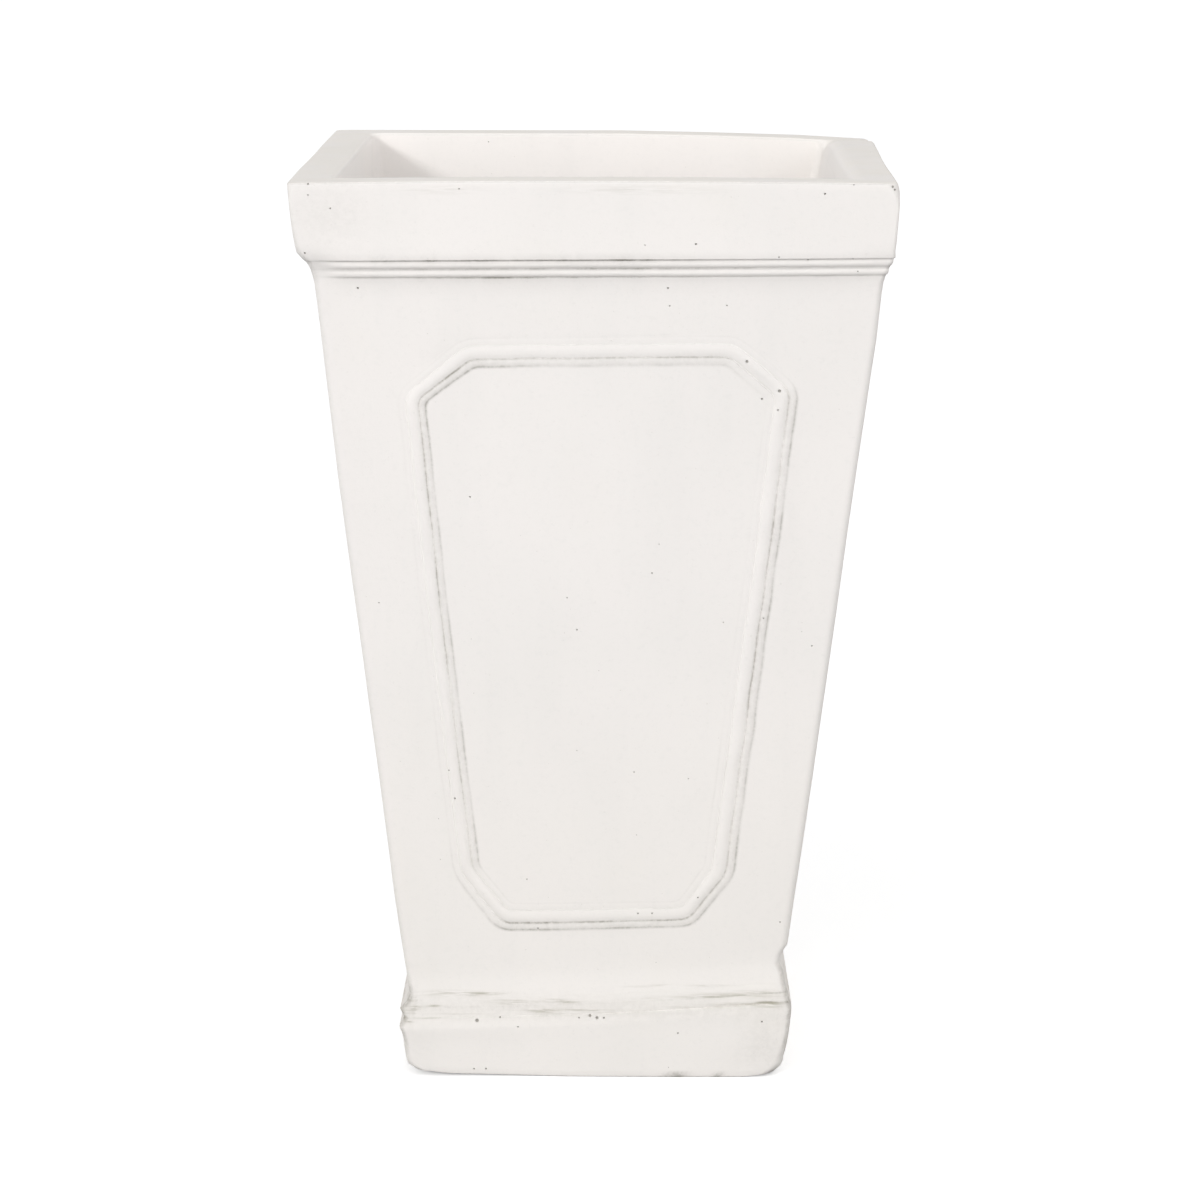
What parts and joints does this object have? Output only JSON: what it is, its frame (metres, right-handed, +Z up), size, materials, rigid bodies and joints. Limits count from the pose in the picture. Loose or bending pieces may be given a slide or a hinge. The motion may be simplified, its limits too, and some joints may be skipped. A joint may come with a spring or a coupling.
{
  "type": "versailles planter",
  "caption": "Tall square tapered garden planter with a thick rim, beads, a chamfered panel moulding on each side, a low plinth, a drain hole and its rubber plug.",
  "frame": {"origin": "centre of the base, on the ground", "axes": "+Z up through the centre of the opening, -Y towards the viewer in the picture, +X to the viewer's right"},
  "size_m": [0.3796, 0.3796, 0.6],
  "materials": {
    "painted_face": "matt off-white paint with a faint grey antique wash in the grooves",
    "grey_backing": "bare trowelled fibre cement",
    "glass_fibre_mat": "open woven glass-fibre mesh",
    "floor_mix": "bare trowelled fibre cement",
    "black_rubber": "matt moulded rubber"
  },
  "bodies": {
    "planter": {"face_casting": "painted_face", "backing_coat": "grey_backing", "front_mat": "glass_fibre_mat", "back_mat": "glass_fibre_mat", "left_mat": "glass_fibre_mat", "right_mat": "glass_fibre_mat", "corner_mats": "glass_fibre_mat", "floor_slab": "floor_mix", "floor_mat": "glass_fibre_mat"},
    "plug": {"drain_plug": "black_rubber"}
  },
  "joints": [
    {"name": "plug_lift", "type": "slide", "parent": "planter", "child": "plug", "axis": [0, 0, 1], "range_m": [0, 0.04]}
  ]
}
